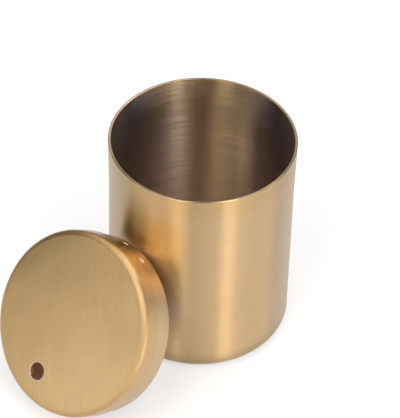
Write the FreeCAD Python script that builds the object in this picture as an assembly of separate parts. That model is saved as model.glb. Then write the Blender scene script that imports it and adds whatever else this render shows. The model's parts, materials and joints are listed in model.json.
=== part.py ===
"""A round metal toothpick dispenser: a drawn cup and a plug lid with one dispensing hole.

Millimetres, +Z up. The origin is on the cup's axis, on the surface that the cup stands on.
The lid is off the cup. It leans on the cup's wall on the -Y side: the rim of its plug ring
stands on the same surface and touches the wall, and its face looks away from the cup.
"""

import FreeCAD, Part
import math
import os

from FreeCAD import Placement, Rotation, Vector

# Cup: one drawn piece with a rounded bottom edge and a wall that leans out a little at the mouth.
CUP_DIAMETER = 54.0
CUP_HEIGHT = 68.0
CUP_WALL = 0.8  # ironed thinner than the floor
CUP_FLOOR = 1.0
CUP_BOTTOM_CORNER = 4.5  # outside radius between the wall and the floor
CUP_LIP_ROUNDING = 0.3  # both edges of the lip
CUP_FLARE = 0.35  # radial, how far the wall has leaned out at the lip
CUP_FLARE_HEIGHT = 18.0  # how far below the lip the wall starts to lean out

# Cap: one pressed piece. Its skirt stands on the lip of the cup, flush with the cup's wall.
CAP_HEIGHT = 6.5
CAP_FACE = 1.0  # thickness of the flat face
CAP_CORNER = 1.8  # outside radius between the face and the skirt
CAP_SKIRT_ROUNDING = 0.3  # outer edge of the skirt

# Plug ring: a sleeve brazed inside the cap, which centres the lid in the mouth of the cup.
PLUG_DEPTH = 6.2  # how far the ring reaches into the cup
PLUG_CLEARANCE = 0.15  # radial, between the ring and the bore of the cup
RING_WALL = 2.0
RING_ROUNDING = 0.3  # outer edge of the ring's open end
BRAZE_FILM = 0.05  # radial, between the ring and the cap's skirt

# Dispensing hole: one hole near the edge of the cap's face.
HOLE_DIAMETER = 5.0
HOLE_OFFSET = 18.4  # from the lid's axis to the centre of the hole
HOLE_CHAMFER = 0.2  # on the outer side of the face

# Where the lid leans.
LID_LEAN = 33.75  # degrees by which the lid's axis rises above the horizontal
LID_TURN = -10.0  # degrees from the lowest point of the face to the hole, about the lid's axis
TOUCH_GAP = 0.3  # between the ring's rim and the cup's wall

# What follows from those sizes.
CUP_RADIUS = CUP_DIAMETER / 2
CUP_BORE = CUP_RADIUS - CUP_WALL
PLUG_RADIUS = CUP_BORE - PLUG_CLEARANCE
SKIRT_BORE = PLUG_RADIUS + BRAZE_FILM
CAP_INNER_CORNER = max(CAP_CORNER - CAP_FACE, 0.2)
LID_HEIGHT = PLUG_DEPTH + CAP_HEIGHT
CAP_INSIDE = LID_HEIGHT - CAP_FACE
RING_TOP = CAP_INSIDE - CAP_INNER_CORNER
HOLE_RADIUS = HOLE_DIAMETER / 2


def toward(start, end, distance):
    """The point that lies the given distance from start on the way to end."""
    way = end - start
    return start + way * (distance / way.Length)


def rounded_outline(corners):
    """A closed wire in the XZ plane through corners of (radius, height, rounding)."""
    points = [Vector(radius, 0, height) for radius, height, _ in corners]
    roundings = [rounding for _, _, rounding in corners]
    arcs = []
    for i, corner in enumerate(points):
        before = points[i - 1]
        after = points[(i + 1) % len(points)]
        if roundings[i] == 0:
            arcs.append((corner, corner, corner))
            continue
        half_angle = (before - corner).getAngle(after - corner) / 2
        reach = roundings[i] / math.tan(half_angle)
        start = toward(corner, before, reach)
        end = toward(corner, after, reach)
        centre = toward(corner, (start + end) / 2, roundings[i] / math.sin(half_angle))
        arcs.append((start, toward(centre, corner, roundings[i]), end))
    edges = []
    for i, (start, middle, end) in enumerate(arcs):
        if roundings[i] > 0:
            edges.append(Part.Arc(start, middle, end).toShape())
        next_start = arcs[(i + 1) % len(arcs)][0]
        if (next_start - end).Length > 1e-7:
            edges.append(Part.LineSegment(end, next_start).toShape())
    return Part.Wire(edges)


def turned(corners):
    """The solid of revolution about +Z whose outline has these corners."""
    return Part.Face(rounded_outline(corners)).revolve(Vector(0, 0, 0), Vector(0, 0, 1), 360)


def cup_body():
    """The cup, open at the top."""
    lip = min(CUP_LIP_ROUNDING, 0.45 * CUP_WALL)
    inner_corner = max(CUP_BOTTOM_CORNER - CUP_WALL, 0.2)
    flare_start = CUP_HEIGHT - CUP_FLARE_HEIGHT
    return turned(
        [
            (0, 0, 0),
            (CUP_RADIUS, 0, CUP_BOTTOM_CORNER),
            (CUP_RADIUS, flare_start, 0),
            (CUP_RADIUS + CUP_FLARE, CUP_HEIGHT, lip),
            (CUP_BORE + CUP_FLARE, CUP_HEIGHT, lip),
            (CUP_BORE, flare_start, 0),
            (CUP_BORE, CUP_FLOOR, inner_corner),
            (0, CUP_FLOOR, 0),
        ]
    )


def dispensing_hole():
    """The tool that cuts the hole and its chamfer, on the lid's axis before it is moved."""
    chamfer_top = HOLE_RADIUS + 2 * HOLE_CHAMFER
    return turned(
        [
            (0, CAP_INSIDE - CAP_FACE, 0),
            (HOLE_RADIUS, CAP_INSIDE - CAP_FACE, 0),
            (HOLE_RADIUS, LID_HEIGHT - HOLE_CHAMFER, 0),
            (chamfer_top, LID_HEIGHT + HOLE_CHAMFER, 0),
            (0, LID_HEIGHT + HOLE_CHAMFER, 0),
        ]
    )


def lid_cap():
    """The cap in the lid's own frame: +Z out of its face, zero at the ring's open end."""
    skirt_wall = CUP_RADIUS - SKIRT_BORE
    cap = turned(
        [
            (0, CAP_INSIDE, 0),
            (SKIRT_BORE, CAP_INSIDE, CAP_INNER_CORNER),
            (SKIRT_BORE, PLUG_DEPTH, 0),
            (CUP_RADIUS, PLUG_DEPTH, min(CAP_SKIRT_ROUNDING, 0.9 * skirt_wall)),
            (CUP_RADIUS, LID_HEIGHT, CAP_CORNER),
            (0, LID_HEIGHT, 0),
        ]
    )
    hole = dispensing_hole()
    hole.translate(Vector(0, -HOLE_OFFSET, 0))
    return cap.cut(hole)


def plug_ring():
    """The ring in the lid's own frame."""
    inner = PLUG_RADIUS - RING_WALL
    return turned(
        [
            (inner, 0, 0),
            (PLUG_RADIUS, 0, min(RING_ROUNDING, 0.9 * RING_WALL)),
            (PLUG_RADIUS, RING_TOP, 0),
            (inner, RING_TOP, 0),
        ]
    )


def leaning():
    """The placement that takes the lid from its own frame to where it leans on the cup."""
    lean = math.radians(LID_LEAN)
    rounding = min(RING_ROUNDING, 0.9 * RING_WALL)
    rim = PLUG_RADIUS - rounding
    # The rounded rim stands on the ground at its lowest point and faces the wall at its highest.
    height = rim * math.cos(lean) + rounding * (1 - math.sin(lean))
    distance = CUP_RADIUS + TOUCH_GAP + rim * math.sin(lean) + rounding * (1 - math.cos(lean))
    turn = Rotation(Vector(0, 0, 1), LID_TURN)
    tip = Rotation(Vector(1, 0, 0), 90 - LID_LEAN)
    return Placement(Vector(0, -distance, height), tip.multiply(turn))


def save(name, shape):
    """Writes one node to its own STEP file."""
    assert shape.isValid(), name
    shape.exportStep(f"parts/{name}.step")


os.makedirs("parts", exist_ok=True)
save("cup_body", cup_body())
for name, piece in (("lid_cap", lid_cap()), ("plug_ring", plug_ring())):
    piece.Placement = leaning()
    save(name, piece)
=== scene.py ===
"""Dresses the toothpick dispenser: a brushed cup and a plug lid that leans on it, on a white table.

The file is laid out as a Blender add-on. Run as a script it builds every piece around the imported
frame. Lengths are in metres. The lid is modelled in its own frame, with +Z out of its face and zero
at the open end of its plug ring, and is then tipped to where it leans on the cup.
"""

import json
import math

import bpy
from mathutils import Matrix, Vector


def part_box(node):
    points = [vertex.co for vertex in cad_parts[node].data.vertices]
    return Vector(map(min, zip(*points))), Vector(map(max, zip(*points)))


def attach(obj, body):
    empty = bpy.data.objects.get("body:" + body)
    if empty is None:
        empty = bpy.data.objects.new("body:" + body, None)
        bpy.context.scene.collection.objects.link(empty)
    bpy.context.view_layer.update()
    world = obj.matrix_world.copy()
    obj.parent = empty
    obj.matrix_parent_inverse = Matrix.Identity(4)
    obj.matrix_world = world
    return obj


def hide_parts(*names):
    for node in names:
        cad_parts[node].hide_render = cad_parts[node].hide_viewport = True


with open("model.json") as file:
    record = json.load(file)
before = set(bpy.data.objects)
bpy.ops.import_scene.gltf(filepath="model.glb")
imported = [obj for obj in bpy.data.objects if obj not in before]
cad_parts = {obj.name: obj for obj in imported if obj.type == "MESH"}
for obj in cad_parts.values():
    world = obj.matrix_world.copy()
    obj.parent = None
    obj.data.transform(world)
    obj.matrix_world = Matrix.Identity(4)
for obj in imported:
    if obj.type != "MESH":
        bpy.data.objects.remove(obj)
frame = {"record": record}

bl_info = {
    "name": "Toothpick dispenser",
    "version": (1, 0, 0),
    "blender": (4, 5, 0),
    "location": "View3D > Sidebar > Dispenser",
    "description": "Models a lidded toothpick dispenser and its stage",
    "category": "Add Mesh",
}

MM = 0.001
SEGMENTS = 192  # steps round every turned piece


def mount(name):
    """The record's mount of that name."""
    return next(m for m in frame["record"]["mounts"] if m["name"] == name)


CUP_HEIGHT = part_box("cup_body")[1].z
LID_AXIS = Vector(mount("dispensing_hole")["axis"])
HOLE_CENTRE = Vector(mount("dispensing_hole")["pos_m"])


class CupSizes(bpy.types.PropertyGroup):
    """Sizes of the drawn cup."""

    radius: bpy.props.FloatProperty(
        name="Radius", description="Outside radius of the straight wall", default=27.0 * MM, unit="LENGTH"
    )
    bore: bpy.props.FloatProperty(
        name="Bore",
        description="Inside radius of the straight wall",
        default=mount("cup_mouth")["dims"]["r_mm"] * MM,
        unit="LENGTH",
    )
    height: bpy.props.FloatProperty(
        name="Height", description="From the table to the lip", default=CUP_HEIGHT, unit="LENGTH"
    )
    floor: bpy.props.FloatProperty(
        name="Floor", description="Thickness of the floor", default=1.0 * MM, unit="LENGTH"
    )
    flare: bpy.props.FloatProperty(
        name="Flare", description="How far the wall leans out at the lip", default=0.35 * MM, unit="LENGTH"
    )
    flare_height: bpy.props.FloatProperty(
        name="Flare height",
        description="How far below the lip the wall starts to lean out",
        default=18.0 * MM,
        unit="LENGTH",
    )
    corner: bpy.props.FloatProperty(
        name="Bottom corner", description="Outside radius of the bottom edge", default=4.5 * MM, unit="LENGTH"
    )
    lip: bpy.props.FloatProperty(
        name="Lip rounding", description="Rounding of the lip's outer edge", default=0.3 * MM, unit="LENGTH"
    )
    inner_lip: bpy.props.FloatProperty(
        name="Inner lip", description="Rounding of the lip's inner edge", default=0.1 * MM, unit="LENGTH"
    )


class LidSizes(bpy.types.PropertyGroup):
    """Sizes of the pressed cap and of the plug ring inside it."""

    cap_height: bpy.props.FloatProperty(
        name="Cap height", description="From the skirt's edge to the face", default=6.5 * MM, unit="LENGTH"
    )
    face: bpy.props.FloatProperty(
        name="Face", description="Thickness of the face", default=1.0 * MM, unit="LENGTH"
    )
    corner: bpy.props.FloatProperty(
        name="Corner", description="Outside radius between face and skirt", default=1.8 * MM, unit="LENGTH"
    )
    skirt_edge: bpy.props.FloatProperty(
        name="Skirt edge", description="Rounding of the skirt's outer edge", default=0.3 * MM, unit="LENGTH"
    )
    skirt_bore: bpy.props.FloatProperty(
        name="Skirt bore", description="Inside radius of the skirt", default=26.1 * MM, unit="LENGTH"
    )
    dome: bpy.props.FloatProperty(
        name="Dome", description="How far the middle of the face stands out", default=0.6 * MM, unit="LENGTH"
    )
    plug_depth: bpy.props.FloatProperty(
        name="Plug depth",
        description="How far the ring stands out of the cap",
        default=6.2 * MM,
        unit="LENGTH",
    )
    ring_radius: bpy.props.FloatProperty(
        name="Ring radius", description="Outside radius of the plug ring", default=26.05 * MM, unit="LENGTH"
    )
    ring_wall: bpy.props.FloatProperty(
        name="Ring wall", description="Thickness of the plug ring", default=2.0 * MM, unit="LENGTH"
    )
    ring_edge: bpy.props.FloatProperty(
        name="Ring edge", description="Rounding of the ring's outer edge", default=0.3 * MM, unit="LENGTH"
    )
    hole_radius: bpy.props.FloatProperty(
        name="Hole radius",
        description="Radius of the dispensing hole",
        default=mount("dispensing_hole")["dims"]["r_mm"] * MM,
        unit="LENGTH",
    )
    hole_offset: bpy.props.FloatProperty(
        name="Hole offset", description="From the lid's axis to the hole", default=18.4 * MM, unit="LENGTH"
    )
    hole_chamfer: bpy.props.FloatProperty(
        name="Hole chamfer", description="Chamfer on the hole's outer edge", default=0.2 * MM, unit="LENGTH"
    )
    turn: bpy.props.FloatProperty(
        name="Turn",
        description="From the lowest point of the face to the hole",
        default=math.radians(-10),
        unit="ROTATION",
    )
    grain: bpy.props.FloatProperty(
        name="Grain",
        description="From the hole's side of the face to the lines that the brush left on it",
        default=math.radians(40),
        unit="ROTATION",
    )


class MetalLooks(bpy.types.PropertyGroup):
    """Colours of the brass, as it looks under white light, and colours that paint light and shade on it."""

    brass: bpy.props.FloatVectorProperty(
        name="Brass", description="The brushed walls", subtype="COLOR", size=3, default=(0.67, 0.43, 0.185)
    )
    # Yellower tone of the wall under the lip; the same colour paints shade where the lid leans and at the
    # foot.
    yellow_tint_and_shade: bpy.props.FloatVectorProperty(
        name="Oiled",
        description="The yellower wall under the lip, where it is rubbed and at the foot",
        subtype="COLOR",
        size=3,
        default=(0.65, 0.40, 0.14),
    )
    face: bpy.props.FloatVectorProperty(
        name="Face",
        description="The face of the lid",
        subtype="COLOR",
        size=3,
        default=(0.59, 0.378, 0.155),
    )
    # The lip's paler colour; the lip also gets a painted highlight on one side and painted shade at its
    # front.
    lip: bpy.props.FloatVectorProperty(
        name="Lip", description="The worn lip of the cup", subtype="COLOR", size=3, default=(0.58, 0.41, 0.26)
    )
    # Painted highlight: the pale colour of the highlights on the lid's skirt and ring at the top, on its
    # corner and round the dispensing hole.
    pale: bpy.props.FloatVectorProperty(
        name="Pale",
        description="Worn metal at the dispensing hole and at the top of the lid's wall",
        subtype="COLOR",
        size=3,
        default=(0.70, 0.49, 0.27),
    )
    # Painted glint in a nick.
    glint: bpy.props.FloatVectorProperty(
        name="Glint", description="Fresh metal in a nick", subtype="COLOR", size=3, default=(0.86, 0.64, 0.41)
    )
    bore: bpy.props.FloatVectorProperty(
        name="Bore",
        description="The duller inside of the cup",
        subtype="COLOR",
        size=3,
        default=(0.55, 0.39, 0.284),
    )
    # Painted reflection: the yellower band in the bore, also used for its painted shade near the lip.
    painted_tint: bpy.props.FloatVectorProperty(
        name="Stain",
        description="The yellower band in the bore",
        subtype="COLOR",
        size=3,
        default=(0.53, 0.375, 0.21),
    )
    # The camera's side of the cup, which places the painted reflections and shade in the bore and the painted
    # highlight and shade on the lip.
    camera_turn: bpy.props.FloatProperty(
        name="Stain turn",
        description="From +X to the side of the bore that has the band",
        default=math.radians(44.3),
        unit="ROTATION",
    )
    # Painted shade: the dark sides of the bore, where it mirrors itself.
    side_shade: bpy.props.FloatVectorProperty(
        name="Dull",
        description="The duller sides of the bore",
        subtype="COLOR",
        size=3,
        default=(0.25, 0.21, 0.27),
    )
    # Painted shade: a dark red-brown for the lid's hollow and the dispensing hole.
    hollow: bpy.props.FloatVectorProperty(
        name="Hollow",
        description="The unpolished hollow of the lid",
        subtype="COLOR",
        size=3,
        default=(0.37, 0.155, 0.085),
    )
    ring: bpy.props.FloatVectorProperty(
        name="Ring",
        description="The paler plug ring",
        subtype="COLOR",
        size=3,
        default=(0.68, 0.465, 0.244),
    )


# ---- Shaders ------------------------------------------------------------------------------------


class Signal:
    """A shader output that Python expressions can work with: a * b + 1 adds two Math nodes."""

    def __init__(self, shader, socket):
        self.shader = shader
        self.socket = socket

    def combine(self, operation, first, second):
        """A Math node on two values, either of which may be a number."""
        return self.shader.node("ShaderNodeMath", {"operation": operation}, {0: first, 1: second})

    def __add__(self, other):
        return self.combine("ADD", self, other)

    __radd__ = __add__

    def __sub__(self, other):
        return self.combine("SUBTRACT", self, other)

    def __rsub__(self, other):
        return self.combine("SUBTRACT", other, self)

    def __mul__(self, other):
        return self.combine("MULTIPLY", self, other)

    __rmul__ = __mul__

    def __truediv__(self, other):
        return self.combine("DIVIDE", self, other)

    def __pow__(self, other):
        return self.combine("POWER", self, other)

    def __abs__(self):
        return self.combine("ABSOLUTE", self, 0.0)

    def at_least(self, low):
        """The value, raised to the low one where it is below it."""
        return self.combine("MAXIMUM", self, low)


class Shader:
    """The node tree of a material or a world, built one node at a time."""

    def __init__(self, owner, surface="Principled BSDF"):
        owner.use_nodes = True
        self.owner = owner
        self.tree = owner.node_tree
        self.surface = self.tree.nodes[surface]

    def node(self, kind, settings=None, inputs=None, output=0):
        """A node with these settings and inputs. An input is a number, a tuple or a Signal."""
        made = self.tree.nodes.new(kind)
        for key, value in (settings or {}).items():
            setattr(made, key, value)
        for key, value in (inputs or {}).items():
            self.feed(made.inputs[key], value)
        return Signal(self, made.outputs[output])

    def feed(self, socket, value):
        """Links a Signal to the socket, or sets it to a plain value."""
        if isinstance(value, Signal):
            self.tree.links.new(value.socket, socket)
        else:
            socket.default_value = value

    def set(self, **inputs):
        """Feeds the surface's sockets, named with underscores for spaces."""
        for key, value in inputs.items():
            self.feed(self.surface.inputs[key.replace("_", " ")], value)

    def place(self, location=(0, 0, 0), rotation=(0, 0, 0)):
        """Object coordinates in millimetres, seen from a frame at that place."""
        coordinates = self.node("ShaderNodeTexCoord", output="Object")
        return self.node(
            "ShaderNodeMapping",
            {"vector_type": "TEXTURE"},
            {"Vector": coordinates, "Location": location, "Rotation": rotation, "Scale": (MM, MM, MM)},
        )

    def axes(self, vector):
        """The three numbers of a vector."""
        split = self.node("ShaderNodeSeparateXYZ", inputs={0: vector})
        return [Signal(self, output) for output in split.socket.node.outputs]

    def vector(self, x, y, z):
        """A vector from three numbers."""
        return self.node("ShaderNodeCombineXYZ", inputs={0: x, 1: y, 2: z})

    def noise(self, vector, scale=1.0, detail=2.0, roughness=0.5):
        """Smooth noise about one half."""
        return self.node(
            "ShaderNodeTexNoise",
            inputs={"Vector": vector, "Scale": scale, "Detail": detail, "Roughness": roughness},
        )

    def ramp(self, value, low, high, to_low=0.0, to_high=1.0):
        """The value from low to high, eased and mapped to another range."""
        return self.node(
            "ShaderNodeMapRange",
            {"interpolation_type": "SMOOTHSTEP"},
            {"Value": value, "From Min": low, "From Max": high, "To Min": to_low, "To Max": to_high},
        )

    def between(self, value, start, full, fade, end):
        """One while the value is from full to fade, eased to zero at the start and at the end."""
        return self.ramp(value, start, full) * self.ramp(value, fade, end, 1, 0)

    def mix(self, factor, first, second):
        """A colour between two others."""
        return self.node(
            "ShaderNodeMix",
            {"data_type": "RGBA"},
            {"Factor": factor, 6: first, 7: second},
            output=2,
        )

    def scaled(self, vector, by):
        """The vector, longer or shorter by a number."""
        return self.node("ShaderNodeVectorMath", {"operation": "SCALE"}, {0: vector, "Scale": by})

    def total(self, first, second):
        """The sum of two vectors."""
        return self.node("ShaderNodeVectorMath", {"operation": "ADD"}, {0: first, 1: second})

    def brushed_normal(self, across, amount):
        """The surface's normal, tipped along a fixed direction of the piece by a varying amount."""
        direction = self.node(
            "ShaderNodeVectorTransform",
            {"vector_type": "VECTOR", "convert_from": "OBJECT", "convert_to": "WORLD"},
            {0: across},
        )
        normal = self.node("ShaderNodeNewGeometry", output="Normal")
        tipped = self.total(normal, self.scaled(direction, amount))
        return self.node("ShaderNodeVectorMath", {"operation": "NORMALIZE"}, {0: tipped})


def opaque(colour):
    """A colour with full alpha."""
    return (*colour, 1.0)


def shade(colour, by):
    """A darker or lighter copy of a colour, with full alpha."""
    return opaque([channel * by for channel in colour])


def toward(x, y, turn):
    """How far from the Z axis a point lies towards the side at that turn, from -Y towards +X."""
    return x * math.sin(turn) - y * math.cos(turn)


def on_side(shader, x, y, side, full, end):
    """One on a side of a round piece, out to the full angle, and zero from the end angle on.

    The side is in degrees from -Y towards +X, and the angles are in degrees to either side of it.
    """
    cosine = toward(x, y, math.radians(side)) / (x * x + y * y) ** 0.5
    return shader.ramp(cosine, math.cos(math.radians(end)), math.cos(math.radians(full)))


def lines_around(shader, x, y, z, fineness, length=20, **settings):
    """Noise drawn out around the Z axis, as a brush or a lathe leaves it.

    The fineness is in lines to a millimetre, and the length of a line in millimetres.
    """
    return shader.noise(shader.vector(x / length, y / length, z * fineness), **settings)


# Marks on the cup's wall: painted shade and painted light where the lid leans, painted shade at the foot,
# and a yellower tone under the lip. A side is told as on_side takes it.
# Heights are in millimetres over the table, and depths in millimetres under the lip: where a mark
# starts, is full, fades and ends, or only where it fades and ends.
# Painted shade where the lid leans: its orange reflection on the wall.
LID_SHADED_SIDE = (11, 17.2, 25.8)
LID_SHADED_HEIGHTS = (22, 34, 54, 61)
# Painted light on the lower wall beside the lid.
LIT_BESIDE_LID_SIDE = (11, 18.2, 24.5)
LIT_BESIDE_LID_HEIGHTS = (4, 12, 12, 26)
# Painted shade at the foot, where the cup stands on the table.
FOOT_HEIGHTS = (1.2, 8.0)
# Where the wall turns yellower under the lip.
YELLOWER_DEPTHS = (2.0, 9.0)

# Painted reflections and shade in the cup's bore, by the depth under the lip and by the place across
# the bore as the camera sees it, which goes from -1 to 1.
# Painted shade in the bore near the lip.
SHADED_BORE_DEPTHS = (3, 24)
# A painted reflection band.
REFLECTED_BAND_ACROSS = (-0.02, 0.16, 0.4, 0.62)
# A painted sheen.
SHEEN_ACROSS = (0.36, 0.46, 0.54, 0.64)


def cup_metal(sizes, looks):
    """Brass brushed around the cup outside, and duller with turning marks inside."""
    shader = Shader(bpy.data.materials.new("cup_metal"))
    place = shader.place()
    x, y, z = shader.axes(place)
    below_lip = sizes.height / MM - z
    inside = on_inside(shader, sizes, x, y, z) * shader.ramp(below_lip, 0.3, 1.1)
    on_lip = shader.ramp(below_lip, 0.1, 0.3, 1, 0)
    # Painted shade where the lid leans.
    lid_shaded = on_side(shader, x, y, *LID_SHADED_SIDE) * shader.between(z, *LID_SHADED_HEIGHTS)
    # Painted light beside the lid.
    lit_beside_lid = on_side(shader, x, y, *LIT_BESIDE_LID_SIDE) * shader.between(z, *LIT_BESIDE_LID_HEIGHTS)
    # Across the bore and towards its front, as the camera sees it: these place the painted reflections and
    # shade in the bore and on the lip.
    sideways = toward(x, y, looks.camera_turn + math.pi / 2) / (sizes.bore / MM)
    frontways = toward(x, y, looks.camera_turn) / (sizes.bore / MM)

    lines = lines_around(shader, x, y, z, 6, detail=3, roughness=0.7)
    bands = lines_around(shader, x, y, z, 0.5, length=33.3)
    marks = lines_around(shader, x, y, z, 2.2)
    smudges = shader.noise(place, scale=0.09, detail=3)

    wall = cup_wall(shader, looks, smudges, lid_shaded, lit_beside_lid, z, below_lip)
    bore = cup_bore(shader, looks, smudges, sideways, below_lip)
    colour = shader.mix(on_lip, shader.mix(inside, wall, bore), cup_lip(shader, looks, sideways, frontways))
    tone = 0.9 + 0.1 * lines + 0.1 * bands + (0.06 + 0.45 * (marks - 0.5)) * inside
    shader.set(
        Base_Color=shader.scaled(colour, tone),
        Metallic=1.0,
        Roughness=0.38 + 0.04 * (smudges - 0.5) + 0.06 * (lines - 0.5) - 0.2 * on_lip,
        Anisotropic=1.0,
        Anisotropic_Rotation=0.25,
        Coat_Weight=1 - 0.5 * lid_shaded,
        Coat_Roughness=0.3,
        Coat_IOR=1.8,
        Normal=shader.brushed_normal((0, 0, 1), (0.25 + 1.5 * inside) * (lines - 0.5)),
    )
    return shader.owner


def on_inside(shader, sizes, x, y, z):
    """One on the inside of the cup and zero on its outside, told apart by the depth in the wall."""
    corner = sizes.corner / MM
    radius = (x * x + y * y) ** 0.5
    outward = (radius - (sizes.radius / MM - corner)).at_least(0.0)
    downward = (corner - z).at_least(0.0)
    depth = corner - (outward * outward + downward * downward) ** 0.5
    half_wall = (sizes.radius - sizes.bore) / 2 / MM
    return shader.ramp(depth, half_wall - 0.1, half_wall + 0.1)


def cup_wall(shader, looks, smudges, lid_shaded, lit_beside_lid, z, below_lip):
    """The wall's colour: yellower under the lip, painted shade where the lid leans and at the foot, and
    painted light beside the lid.
    """
    wall = shader.mix(smudges, shade(looks.brass, 0.94), shade(looks.brass, 1.06))
    under_lip = shader.ramp(below_lip, *YELLOWER_DEPTHS, 1, 0)
    # Painted shade at the foot: yellower and darker.
    foot = shader.ramp(z, *FOOT_HEIGHTS, 1, 0)
    # Yellower under the lip, and painted shade where the lid leans and at the foot.
    yellower = 1 - (1 - under_lip) * (1 - lid_shaded) * (1 - foot)
    wall = shader.mix(yellower, wall, opaque(looks.yellow_tint_and_shade))
    # Painted light beside the lid, and painted shade at the foot.
    return shader.scaled(wall, (1 + 0.42 * lit_beside_lid) * (1 - 0.4 * foot))


def cup_bore(shader, looks, smudges, sideways, below_lip):
    """The bore's colour, with painted reflections and shade placed by the camera's side: a yellower band,
    darker sides, a sheen, and yellower shade near the lip.
    """
    bore = shader.mix(smudges, shade(looks.bore, 0.9), shade(looks.bore, 1.05))
    # Painted reflection: a yellower band on one side of the bore.
    bore = shader.mix(shader.between(sideways, *REFLECTED_BAND_ACROSS), bore, opaque(looks.painted_tint))
    # Painted shade near the lip, yellower and darker.
    near_lip = shader.ramp(below_lip, *SHADED_BORE_DEPTHS, 1, 0)
    bore = shader.mix(0.7 * near_lip, bore, shade(looks.painted_tint, 0.88))
    # Painted shade at the bore's sides.
    sides = shader.ramp(abs(sideways) + 0.2 * near_lip, 0.66, 0.98)
    bore = shader.mix(0.75 * sides, bore, opaque(looks.side_shade))
    # Painted sheen.
    sheen = shader.between(sideways, *SHEEN_ACROSS) * (1 - near_lip)
    return shader.scaled(bore, 1 + 0.35 * sheen)


def cup_lip(shader, looks, sideways, frontways):
    """The lip's colour: paler, with a painted highlight on one side and painted shade at the front."""
    # Painted highlight on one side of the lip.
    lip = shader.scaled(tuple(looks.lip), shader.ramp(sideways, -1.0, -0.6, 1.6, 1.0))
    # Painted shade at the lip's front.
    return shader.mix(shader.ramp(frontways, -0.1, 0.6), lip, shade(looks.brass, 0.6))


def lid_place(sizes):
    """Centre of the ring's open end and the turn that tips the lid's frame to where it leans."""
    lean = math.asin(LID_AXIS.z)
    turned = Matrix.Rotation(math.pi / 2 - lean, 4, "X") @ Matrix.Rotation(sizes.turn, 4, "Z")
    hole_middle = sizes.plug_depth + sizes.cap_height - (sizes.face + sizes.hole_chamfer) / 2
    centre = HOLE_CENTRE - turned @ Vector((0, -sizes.hole_offset, hole_middle))
    return centre, turned


# Painted light and shade on the lid. Sides are told from the hole's side of it, which is -Y in the lid's own
# frame.
# Painted highlight.
SKIRT_HIGHLIGHT_SIDE = (170, 5.7, 17.2)  # of the skirt and the ring, at the top
# Painted shade.
SKIRT_SHADE_SIDE = (196.3, 5.7, 12.0)  # of the skirt, beside the bright place
# Painted highlight on the corner.
CORNER_HIGHLIGHT_SIDE = math.radians(190)  # of the corner between face and skirt
CORNER_HIGHLIGHT_REACH = (22.1, 26.1)  # where it starts and is full, in millimetres towards that side
# Painted shade on one side of the face.
FACE_SHADE_SIDE = math.radians(-110)  # of the face
FACE_SHADE_REACH = (17, 25)

# Nicks in the ring's outer wall, each tipped and painted with a pale glint: middle and half sizes in the
# lid's frame, in millimetres.
NICKS = (
    ((-5.6, 25.4, 2.5), (1.3, 1.3, 0.7)),
    ((2.4, 25.9, 3.3), (1.1, 1.1, 0.9)),
)
NICK_SLANT = (0.2, -1.15, -0.08)  # how far a nick tips the surface, in the part's frame


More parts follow.
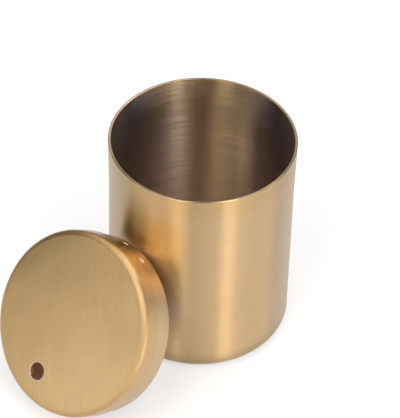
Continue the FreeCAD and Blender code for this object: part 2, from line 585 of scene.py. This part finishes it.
class LidMetal:
    """The brass of a piece of the lid: brushed around it, with painted highlights, and painted shade in the
    hollow.
    """

    def __init__(self, name, colour, sizes, looks):
        self.shader = shader = Shader(bpy.data.materials.new(name))
        self.sizes = sizes
        self.looks = looks
        centre, self.turned = lid_place(sizes)
        self.place = shader.place(tuple(centre), tuple(self.turned.to_euler()))
        self.x, self.y, self.z = shader.axes(self.place)
        self.from_hole = (self.x * self.x + (self.y + sizes.hole_offset / MM) ** 2) ** 0.5
        self.face_level = (sizes.plug_depth + sizes.cap_height) / MM

        smudges = shader.noise(self.place, scale=0.08, detail=3)
        dents = shader.noise(self.place, scale=0.3, detail=1)
        self.lines = lines_around(shader, self.x, self.y, self.z, 6, detail=3, roughness=0.7)
        self.tip = shader.scaled(tuple(LID_AXIS), 0.2 * (self.lines - 0.5) + 0.25 * (dents - 0.5))
        self.colour = shader.mix(smudges, shade(colour, 0.95), shade(colour, 1.05))
        # Painted highlight on the skirt and the ring at the top.
        bright = on_side(shader, self.x, self.y, *SKIRT_HIGHLIGHT_SIDE)
        self.colour = shader.mix(0.9 * bright, self.colour, shade(looks.pale, 1.25))
        self.roughness = 0.4 + 0.08 * (self.lines - 0.5)
        self.coat = 1.0

    def nick(self, middle, half_sizes):
        """Tips the surface in a nick, and paints a pale glint there."""
        axes = zip((self.x, self.y, self.z), middle, half_sizes)
        beside = [(axis - at) / half for axis, at, half in axes]
        away = sum((step * step for step in beside), start=0.0) ** 0.5
        nicked = self.shader.ramp(away, 0.6, 1.0, 1, 0)
        self.tip = self.shader.total(self.tip, self.shader.scaled(NICK_SLANT, nicked))
        # Painted glint.
        self.colour = self.shader.mix(nicked, self.colour, opaque(self.looks.glint))

    def shade_skirt(self):
        """Paints shade on one side of the skirt."""
        # Painted shade on one side of the skirt.
        skirt_shaded = on_side(self.shader, self.x, self.y, *SKIRT_SHADE_SIDE)
        self.colour = self.shader.scaled(self.colour, 1 - 0.35 * skirt_shaded)

    def brush_face(self):
        """Brushes the face in straight lines, stronger in some places, and paints shade on one side of it."""
        shader, looks = self.shader, self.looks
        corner = self.sizes.corner / MM
        on_face = shader.ramp(self.z, self.face_level - 0.8 * corner, self.face_level - 0.2 * corner)
        clouds = shader.noise(self.place, scale=0.07, detail=4, roughness=0.6)
        face = shader.mix(clouds, shade(looks.face, 0.84), shade(looks.face, 1.16))
        # Painted shade on one side of the face.
        face_shaded = shader.ramp(toward(self.x, self.y, FACE_SHADE_SIDE), *FACE_SHADE_REACH)
        face = shader.scaled(face, 1 - 0.2 * face_shaded)
        self.colour = shader.mix(on_face, self.colour, face)

        across, along = math.cos(self.sizes.grain), math.sin(self.sizes.grain)
        grain = shader.vector(
            1.6 * (across * self.x + along * self.y), 0.05 * (across * self.y - along * self.x), 0.0
        )
        streaks = shader.noise(grain, detail=4, roughness=0.75)
        strong = shader.ramp(shader.noise(self.place, scale=0.05, detail=2), 0.35, 0.65)
        brushed = 0.5 + (0.4 + 1.3 * strong) * (streaks - 0.5)
        self.lines = on_face * brushed + (1 - on_face) * self.lines
        direction = tuple(self.turned @ Vector((across, along, 0)))
        self.tip = shader.total(
            shader.scaled(self.tip, 1 - on_face),
            shader.scaled(direction, 0.2 * (streaks - 0.5) * on_face),
        )

    def highlight_hole_edge(self):
        """Paints a highlight round the edge of the dispensing hole."""
        edge = (self.sizes.hole_radius + self.sizes.hole_chamfer) / MM
        # Painted highlight round the hole.
        at_edge = self.shader.ramp(self.from_hole, edge + 0.1, edge + 0.45, 1, 0)
        self.colour = self.shader.mix(at_edge, self.colour, opaque(self.looks.pale))

    def roughen_corner(self):
        """Roughens the corner between face and skirt, and paints a highlight on it at the top."""
        corner = self.sizes.corner / MM
        level = self.face_level
        on_corner = self.shader.between(
            self.z, level - 1.3 * corner, level - 0.8 * corner, level - 0.1 * corner, level + 0.1
        )
        # Painted highlight on the corner at the top.
        pale = on_corner * self.shader.ramp(toward(self.x, self.y, CORNER_HIGHLIGHT_SIDE), *CORNER_HIGHLIGHT_REACH)
        self.colour = self.shader.scaled(self.colour, 1 + 0.3 * pale)
        self.roughness = self.roughness + 0.13 * on_corner
        self.coat = 1.0 - 0.25 * on_corner

    def shaded(self):
        """One in the lid's hollow and in the dispensing hole, where shade is painted, and zero elsewhere."""
        sizes, ramp = self.sizes, self.shader.ramp
        ring_bore = (sizes.ring_radius - sizes.ring_wall) / MM
        ceiling = self.face_level - sizes.face / MM
        radius = (self.x * self.x + self.y * self.y) ** 0.5
        in_hollow = ramp(radius, ring_bore - 0.1, ring_bore + 0.2, 1, 0)
        in_hollow = in_hollow * ramp(self.z, ceiling - 0.1, ceiling + 0.4, 1, 0)
        in_hole = ramp(self.from_hole, sizes.hole_radius / MM, sizes.hole_radius / MM + 0.1, 1, 0)
        return 1 - (1 - in_hollow) * (1 - in_hole)

    def finish(self):
        """Feeds the surface, and returns the material."""
        brushed = self.shader.scaled(self.colour, 0.88 + 0.24 * self.lines)
        self.shader.set(
            # Painted shade in the hollow and in the hole.
            Base_Color=self.shader.mix(self.shaded(), brushed, opaque(self.looks.hollow)),
            Metallic=1.0,
            Coat_Weight=self.coat,
            Coat_Roughness=0.3,
            Roughness=self.roughness,
            Normal=self.shader.brushed_normal(self.tip, 1.0),
        )
        return self.shader.owner


def cap_metal(sizes, looks):
    """Brass for the cap: straight lines on the face, and a skirt that is brushed around."""
    metal = LidMetal("cap_metal", looks.brass, sizes, looks)
    metal.shade_skirt()
    metal.brush_face()
    metal.highlight_hole_edge()
    metal.roughen_corner()
    return metal.finish()


def ring_metal(sizes, looks):
    """Paler brass for the plug ring, with its nicks and their painted glints."""
    metal = LidMetal("ring_metal", looks.ring, sizes, looks)
    for middle, half_sizes in NICKS:
        metal.nick(middle, half_sizes)
    return metal.finish()


# ---- Modelling ----------------------------------------------------------------------------------


def deselect_all():
    """Nothing is selected in object mode."""
    if bpy.context.object and bpy.context.object.mode != "OBJECT":
        bpy.ops.object.mode_set(mode="OBJECT")
    bpy.ops.object.select_all(action="DESELECT")


def billet(name, radius, low, high):
    """A solid cylinder on the Z axis, ready to be shaped in edit mode."""
    deselect_all()
    bpy.ops.mesh.primitive_cylinder_add(
        vertices=SEGMENTS, radius=radius, depth=high - low, location=(0, 0, (low + high) / 2)
    )
    piece = bpy.context.object
    piece.name = name
    piece.data.name = name
    bpy.ops.object.transform_apply(location=True, rotation=True, scale=True)
    bpy.ops.object.mode_set(mode="EDIT")
    bpy.ops.mesh.select_all(action="DESELECT")
    return piece


def select(piece, kind, test):
    """In edit mode, selects the piece's faces or edges whose corners all pass the test, and only those."""
    bpy.ops.object.mode_set(mode="OBJECT")
    mesh = piece.data
    for element in (*mesh.vertices, *mesh.edges, *mesh.polygons):
        element.select = False
    for element in getattr(mesh, kind):
        corners = [mesh.vertices[i].co for i in element.vertices]
        if all(test(corner) for corner in corners):
            element.select = True
    bpy.ops.object.mode_set(mode="EDIT")
    bpy.ops.mesh.select_mode(type="FACE" if kind == "polygons" else "EDGE")


def at(radius=None, height=None, slack=0.01 * MM):
    """A test for points at that distance from the Z axis and at that height."""

    def test(point):
        far = radius is None or abs(math.hypot(point.x, point.y) - radius) < slack
        high = height is None or abs(point.z - height) < slack
        return far and high

    return test


def round_edge(piece, radius, height, by, steps):
    """Rounds the circular edge at that radius and height."""
    select(piece, "edges", at(radius, height))
    bpy.ops.mesh.bevel(offset=by, segments=steps, affect="EDGES", clamp_overlap=False)


def hollow(piece, level, wall, down_to):
    """Sinks the flat end at that level to another level, leaving a wall."""
    select(piece, "polygons", at(height=level))
    bpy.ops.mesh.inset(thickness=wall)
    bpy.ops.mesh.extrude_region_move(TRANSFORM_OT_translate={"value": (0, 0, down_to - level)})


def smooth(piece):
    """Smooth shading that keeps flat faces flat."""
    bpy.ops.object.mode_set(mode="OBJECT")
    bpy.ops.object.shade_smooth_by_angle(angle=math.radians(30))
    bpy.ops.object.modifier_add(type="WEIGHTED_NORMAL")
    piece.modifiers[-1].weight = 100
    piece.modifiers[-1].keep_sharp = True
    bpy.ops.object.modifier_apply(modifier=piece.modifiers[-1].name)


def lean(piece, sizes):
    """Tips a piece of the lid from the lid's own frame to where it leans on the cup."""
    centre, turned = lid_place(sizes)
    deselect_all()
    piece.select_set(True)
    bpy.context.view_layer.objects.active = piece
    piece.matrix_world = Matrix.Translation(centre) @ turned
    bpy.ops.object.transform_apply(location=True, rotation=True, scale=True)


def finish_piece(piece, material, body, node):
    """Gives a finished piece its metal, hangs it on its body, and hides the CAD node that it stands for."""
    piece.data.materials.clear()
    piece.data.materials.append(material)
    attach(piece, body)
    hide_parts(node)


class DISPENSER_OT_cup(bpy.types.Operator):
    """Model the drawn cup: straight wall, rounded bottom edge and softened lip"""

    bl_idname = "dispenser.cup"
    bl_label = "Cup"

    def execute(self, context):
        sizes = context.scene.cup_sizes
        wall = sizes.radius - sizes.bore
        wider = 1 + sizes.flare / sizes.radius
        piece = billet("cup", sizes.radius, 0, sizes.height)
        hollow(piece, sizes.height, wall, sizes.floor)
        bpy.ops.mesh.select_all(action="SELECT")
        bpy.ops.mesh.bisect(plane_co=(0, 0, sizes.height - sizes.flare_height), plane_no=(0, 0, 1))
        select(piece, "edges", at(height=sizes.height))
        bpy.ops.transform.resize(value=(wider, wider, 1))
        round_edge(piece, sizes.radius, 0, sizes.corner, steps=12)
        round_edge(piece, sizes.bore, sizes.floor, sizes.corner - wall, steps=10)
        round_edge(piece, sizes.radius * wider, sizes.height, sizes.lip, steps=4)
        round_edge(piece, sizes.bore * wider, sizes.height, sizes.inner_lip, steps=2)
        smooth(piece)
        finish_piece(piece, cup_metal(sizes, context.scene.metal_looks), "cup", "cup_body")
        return {"FINISHED"}


class DISPENSER_OT_cap(bpy.types.Operator):
    """Model the lid's pressed cap with its dispensing hole"""

    bl_idname = "dispenser.cap"
    bl_label = "Lid cap"

    def execute(self, context):
        cup = context.scene.cup_sizes
        sizes = context.scene.lid_sizes
        top = sizes.plug_depth + sizes.cap_height
        inside = top - sizes.face
        piece = billet("lid_cap_shell", cup.radius, sizes.plug_depth, top)
        hollow(piece, sizes.plug_depth, cup.radius - sizes.skirt_bore, inside)
        round_edge(piece, cup.radius, top, sizes.corner, steps=8)
        round_edge(piece, sizes.skirt_bore, inside, sizes.corner - sizes.face, steps=4)
        round_edge(piece, cup.radius, sizes.plug_depth, sizes.skirt_edge, steps=3)
        self.dome(piece, sizes, cup.radius - sizes.corner, top)
        self.drill(piece, sizes, cup.radius - sizes.corner, inside, top)
        smooth(piece)
        lean(piece, sizes)
        finish_piece(piece, cap_metal(sizes, context.scene.metal_looks), "lid", "lid_cap")
        return {"FINISHED"}

    def dome(self, piece, sizes, flat_radius, top):
        """Raises the flat face into a very shallow dome, ring by ring, steepest at its edge."""
        select(piece, "polygons", at(height=top))
        rings = 8
        for ring in range(1, rings):
            bpy.ops.mesh.inset(thickness=flat_radius / rings)
            rise = sizes.dome * (((ring - 1) / rings - 1) ** 2 - (ring / rings - 1) ** 2)
            bpy.ops.transform.translate(value=(0, 0, rise))

    def drill(self, piece, sizes, flat_radius, inside, top):
        """Cuts the dispensing hole, with its chamfer, through the face."""
        top += sizes.dome * (1 - (sizes.hole_offset / flat_radius) ** 2)
        chamfer = sizes.hole_chamfer
        drill = billet("hole_drill", sizes.hole_radius, inside - sizes.face, top - chamfer)
        select(drill, "polygons", at(height=top - chamfer))
        bpy.ops.mesh.extrude_region_move(TRANSFORM_OT_translate={"value": (0, 0, 2 * chamfer)})
        wide = 1 + 2 * chamfer / sizes.hole_radius
        bpy.ops.transform.resize(value=(wide, wide, 1))
        bpy.ops.mesh.select_all(action="SELECT")
        bpy.ops.transform.translate(value=(0, -sizes.hole_offset, 0))
        deselect_all()
        bpy.context.view_layer.objects.active = piece
        piece.select_set(True)
        bpy.ops.object.modifier_add(type="BOOLEAN")
        cut = piece.modifiers[-1]
        cut.object = drill
        cut.operation = "DIFFERENCE"
        bpy.ops.object.modifier_apply(modifier=cut.name)
        bpy.data.objects.remove(drill)


class DISPENSER_OT_ring(bpy.types.Operator):
    """Model the plug ring inside the cap"""

    bl_idname = "dispenser.ring"
    bl_label = "Plug ring"

    def execute(self, context):
        sizes = context.scene.lid_sizes
        top = sizes.plug_depth + sizes.cap_height - sizes.corner
        bore = sizes.ring_radius - sizes.ring_wall
        piece = billet("plug_sleeve", sizes.ring_radius, 0, top)
        for level in (0, top):
            select(piece, "polygons", at(height=level))
            bpy.ops.mesh.inset(thickness=sizes.ring_wall)
            bpy.ops.mesh.delete(type="ONLY_FACE")
        select(piece, "edges", at(radius=bore))
        bpy.ops.mesh.bridge_edge_loops()
        round_edge(piece, sizes.ring_radius, 0, sizes.ring_edge, steps=3)
        smooth(piece)
        lean(piece, sizes)
        finish_piece(piece, ring_metal(sizes, context.scene.metal_looks), "lid", "plug_ring")
        return {"FINISHED"}


class StageSizes(bpy.types.PropertyGroup):
    """Where the camera stands, and how bright the backdrop and the table are."""

    azimuth: bpy.props.FloatProperty(
        name="Azimuth",
        description="The camera's turn about the cup",
        default=math.radians(44.32),
        unit="ROTATION",
    )
    elevation: bpy.props.FloatProperty(
        name="Elevation",
        description="The camera's height over the table",
        default=math.radians(42.75),
        unit="ROTATION",
    )
    roll: bpy.props.FloatProperty(
        name="Roll",
        description="The camera's turn about its view",
        default=math.radians(1.83),
        unit="ROTATION",
    )
    distance: bpy.props.FloatProperty(
        name="Distance", description="From the camera to its target", default=0.7778, unit="LENGTH"
    )
    aim_right: bpy.props.FloatProperty(
        name="Aim right",
        description="The target's place beside the cup's axis",
        default=-0.22 * MM,
        unit="LENGTH",
    )
    aim_height: bpy.props.FloatProperty(
        name="Aim height", description="The target's height", default=40.4 * MM, unit="LENGTH"
    )
    lens: bpy.props.FloatProperty(
        name="Lens", description="Focal length in mm on a frame 36 mm high", default=227.6
    )
    backdrop: bpy.props.FloatProperty(
        name="Backdrop", description="How much of the white backdrop the metal mirrors", default=0.03
    )
    table_size: bpy.props.FloatProperty(
        name="Table size", description="Width of the table", default=6.0, unit="LENGTH"
    )
    table_white: bpy.props.FloatProperty(
        name="Table white", description="How white the table is under the lights", default=0.55
    )
    table_glow: bpy.props.FloatProperty(
        name="Table glow", description="How much the table glows by itself", default=0.56
    )
    mirrored_glow: bpy.props.FloatProperty(
        name="Mirrored glow", description="How much of the table's glow the metal mirrors", default=0.33
    )


def seen_from_camera(stage, right, near, up):
    """A point given by its distances to the camera's right, towards the camera and up."""
    turn = Matrix.Rotation(stage.azimuth, 3, "Z")
    return turn @ Vector((right, -near, up))


# The soft boxes: name, turn from -Y towards +X, half width, lowest and highest (all in degrees),
# and brightness.
SOFT_BOXES = (
    ("left box", 6, 26, 30, 92, 2.70),
    ("left strip", 20, 9, -5, 11, 5.47),
    ("left screen", -19, 15, -5, 17, 2.10),
    ("right box", 75, 10, 28, 69, 2.89),
    ("right strip", 76, 7, -5, 58, 1.89),
    ("right high box", 99, 18, 48, 82, 3.82),
    ("right screen", 100, 31, -6, 11, 3.64),
    ("front strip", 51, 10, -4, 11, 2.71),
    ("side strip", 154, 9, -5, 25, 0.41),
    ("far box", 182, 23, 49, 85, 2.71),
    ("far wall", 228, 44, 32, 84, 0.62),
    ("side box", -46, 69, 49, 79, 0.45),
)
SOFT_EDGE = 3.0  # degrees by which the edges of a soft box fade on either side


def studio(stage):
    """A dark room with soft boxes, in front of a white backdrop."""
    shader = Shader(bpy.data.worlds.new("studio"), "Background")
    direction = shader.node("ShaderNodeTexCoord", output="Object")
    x, y, z = shader.axes(direction)
    height = z.combine("ARCSINE", z, 0.0) * (180 / math.pi)
    light = []
    for _, turn, half_width, low, high, brightness in SOFT_BOXES:
        beside = toward(x, y, math.radians(turn + 90))
        ahead = toward(x, y, math.radians(turn))
        away = abs(beside.combine("ARCTAN2", beside, ahead)) * (180 / math.pi)
        width = shader.ramp(away, half_width - SOFT_EDGE, half_width + SOFT_EDGE, 1, 0)
        tall = shader.between(
            height, low - SOFT_EDGE, low + SOFT_EDGE, high - SOFT_EDGE, high + SOFT_EDGE
        )
        light.append(brightness * width * tall)
    camera, glossy, transmission = light_paths(shader)
    white = camera + transmission
    shader.set(
        Color=white + (1 - white) * sum(light, start=0.0) + stage.backdrop * glossy,
        Strength=1.0,
    )
    return shader.owner


def light_paths(shader):
    """Whether a ray comes from the camera, from shiny metal or through glass: one or zero each."""
    kinds = ("Is Camera Ray", "Is Glossy Ray", "Is Transmission Ray")
    return [shader.node("ShaderNodeLightPath", output=kind) for kind in kinds]


def white_table(stage):
    """Matt white that still shows the shadows, and glows less where the metal mirrors it."""
    shader = Shader(bpy.data.materials.new("table_white"))
    camera, glossy, transmission = light_paths(shader)
    shader.set(
        Base_Color=shade((1, 1, 1), stage.table_white),
        Roughness=0.9,
        Specular_IOR_Level=0.0,
        Emission_Color=stage.table_glow * (camera + transmission) + stage.mirrored_glow * glossy,
        Emission_Strength=1.0,
    )
    return shader.owner


class DISPENSER_OT_stage(bpy.types.Operator):
    """Build the white table, the soft boxes and the camera"""

    bl_idname = "dispenser.stage"
    bl_label = "Stage"

    def execute(self, context):
        stage = context.scene.stage_sizes
        self.table(stage)
        context.scene.world = studio(stage)
        self.camera(context, stage)
        return {"FINISHED"}

    def table(self, stage):
        """The table, which is only for show."""
        deselect_all()
        bpy.ops.mesh.primitive_plane_add(size=stage.table_size, location=(0, 0, 0))
        floor = bpy.context.object
        floor.name = "table"
        floor.data.materials.append(white_table(stage))

    def camera(self, context, stage):
        """The camera, aimed at the cup and turned a little about its view."""
        data = bpy.data.cameras.new("camera")
        data.lens = stage.lens
        data.sensor_fit = "VERTICAL"
        data.sensor_height = 36.0
        data.clip_end = 20.0
        camera = bpy.data.objects.new("camera", data)
        context.scene.collection.objects.link(camera)
        near = stage.distance * math.cos(stage.elevation)
        up = stage.distance * math.sin(stage.elevation)
        target = seen_from_camera(stage, stage.aim_right, 0, stage.aim_height)
        camera.location = target + seen_from_camera(stage, 0, near, up)
        level = (camera.location - target).to_track_quat("Z", "Y").to_matrix()
        camera.rotation_euler = (level @ Matrix.Rotation(stage.roll, 3, "Z")).to_euler()
        context.scene.camera = camera


class DISPENSER_PT_panel(bpy.types.Panel):
    """Lists the dispenser's pieces"""

    bl_idname = "DISPENSER_PT_panel"
    bl_label = "Toothpick dispenser"
    bl_space_type = "VIEW_3D"
    bl_region_type = "UI"
    bl_category = "Dispenser"

    def draw(self, context):
        for operator in OPERATORS:
            self.layout.operator(operator.bl_idname)


OPERATORS = (DISPENSER_OT_cup, DISPENSER_OT_cap, DISPENSER_OT_ring, DISPENSER_OT_stage)
GROUPS = {
    "cup_sizes": CupSizes,
    "lid_sizes": LidSizes,
    "metal_looks": MetalLooks,
    "stage_sizes": StageSizes,
}


def register():
    """Makes the sizes, the operators and the panel known to Blender."""
    for group in GROUPS.values():
        bpy.utils.register_class(group)
    for name, group in GROUPS.items():
        setattr(bpy.types.Scene, name, bpy.props.PointerProperty(type=group))
    for operator in OPERATORS:
        bpy.utils.register_class(operator)
    bpy.utils.register_class(DISPENSER_PT_panel)


def unregister():
    """Takes them away again."""
    bpy.utils.unregister_class(DISPENSER_PT_panel)
    for operator in reversed(OPERATORS):
        bpy.utils.unregister_class(operator)
    for name, group in reversed(GROUPS.items()):
        delattr(bpy.types.Scene, name)
        bpy.utils.unregister_class(group)


def main():
    """Builds every piece."""
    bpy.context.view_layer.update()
    register()
    context = bpy.context
    context.scene.view_settings.view_transform = "Standard"
    bpy.ops.dispenser.cup()
    bpy.ops.dispenser.cap()
    bpy.ops.dispenser.ring()
    bpy.ops.dispenser.stage()


if __name__ == "__main__":
    main()
